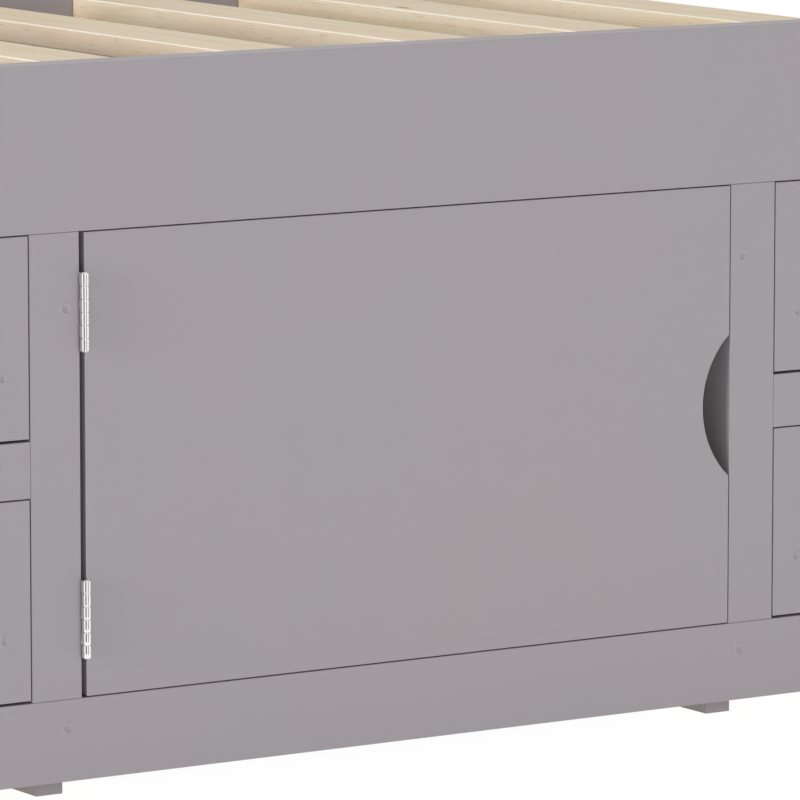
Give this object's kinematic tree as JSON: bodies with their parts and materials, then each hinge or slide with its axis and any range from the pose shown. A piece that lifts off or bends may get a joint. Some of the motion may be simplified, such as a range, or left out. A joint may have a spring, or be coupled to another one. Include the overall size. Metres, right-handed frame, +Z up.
{
  "type": "platform storage bed",
  "caption": "Double platform bed with a slatted deck between side rails, over a cupboard with a hinged door and handleless drawers on either side of it.",
  "frame": {"origin": "on the floor, under the middle of the bed's frame", "axes": "+X along the bed towards the foot end, storage front faces -Y, +Z up"},
  "size_m": [1.971, 1.4238, 0.613],
  "materials": {
    "grey_paint": "satin grey paint on wood",
    "pine_slats": "planed bare pine",
    "bare_pine": "planed bare pine",
    "drawer_pine": "sanded bare pine",
    "drawer_plywood": "sanded birch plywood",
    "bright_nickel": "bright nickel plating",
    "zinc_screws": "bright zinc plating",
    "painted_screws": "painted over with the boards",
    "white_plastic": "moulded",
    "steel_plate": "stamped and zinc plated"
  },
  "bodies": {
    "bed_frame": {"front_side_rail": "grey_paint", "back_side_rail": "grey_paint", "front_plinth": "grey_paint", "left_end_stile": "grey_paint", "hinge_stile": "grey_paint", "closing_stile": "grey_paint", "right_end_stile": "grey_paint", "left_mid_rail": "grey_paint", "right_mid_rail": "grey_paint", "left_end_panel": "grey_paint", "right_end_panel": "grey_paint", "left_divider": "grey_paint", "right_divider": "grey_paint", "back_panel": "grey_paint", "front_slat_bearer": "bare_pine", "back_slat_bearer": "bare_pine", "centre_beam": "bare_pine", "slat_01": "pine_slats", "slat_02": "pine_slats", "slat_03": "pine_slats", "slat_04": "pine_slats", "slat_05": "pine_slats", "slat_06": "pine_slats", "slat_07": "pine_slats", "slat_08": "pine_slats", "slat_09": "pine_slats", "slat_10": "pine_slats", "cupboard_floor": "grey_paint", "floor_battens": "bare_pine", "drawer_runners": "bare_pine", "hinge_frame_leaves": "bright_nickel", "hinge_pins": "bright_nickel", "hinge_frame_screws": "zinc_screws", "magnetic_catch": "white_plastic", "frame_screws_painted": "painted_screws", "frame_screws_plain": "zinc_screws"},
    "door": {"cupboard_door": "grey_paint", "hinge_door_leaves": "bright_nickel", "hinge_door_screws": "zinc_screws", "catch_plate": "steel_plate"},
    "upper_left_drawer": {"upper_left_drawer_front": "grey_paint", "upper_left_drawer_sides": "drawer_pine", "upper_left_drawer_back": "drawer_pine", "upper_left_drawer_bottom": "drawer_plywood", "upper_left_drawer_screws": "painted_screws"},
    "lower_left_drawer": {"lower_left_drawer_front": "grey_paint", "lower_left_drawer_sides": "drawer_pine", "lower_left_drawer_back": "drawer_pine", "lower_left_drawer_bottom": "drawer_plywood", "lower_left_drawer_screws": "painted_screws"},
    "upper_right_drawer": {"upper_right_drawer_front": "grey_paint", "upper_right_drawer_sides": "drawer_pine", "upper_right_drawer_back": "drawer_pine", "upper_right_drawer_bottom": "drawer_plywood", "upper_right_drawer_screws": "painted_screws"},
    "lower_right_drawer": {"lower_right_drawer_front": "grey_paint", "lower_right_drawer_sides": "drawer_pine", "lower_right_drawer_back": "drawer_pine", "lower_right_drawer_bottom": "drawer_plywood", "lower_right_drawer_screws": "painted_screws"}
  },
  "joints": [
    {"name": "door_hinge", "type": "hinge", "parent": "bed_frame", "child": "door", "pos_m": [-0.3269, -0.7119, 0.2805], "axis": [0, 0, -1], "range_deg": [0, 95]},
    {"name": "upper_left_drawer_slide", "type": "slide", "parent": "bed_frame", "child": "upper_left_drawer", "axis": [0, -1, 0], "range_m": [0, 0.4]},
    {"name": "lower_left_drawer_slide", "type": "slide", "parent": "bed_frame", "child": "lower_left_drawer", "axis": [0, -1, 0], "range_m": [0, 0.4]},
    {"name": "upper_right_drawer_slide", "type": "slide", "parent": "bed_frame", "child": "upper_right_drawer", "axis": [0, -1, 0], "range_m": [0, 0.4]},
    {"name": "lower_right_drawer_slide", "type": "slide", "parent": "bed_frame", "child": "lower_right_drawer", "axis": [0, -1, 0], "range_m": [0, 0.4]}
  ]
}
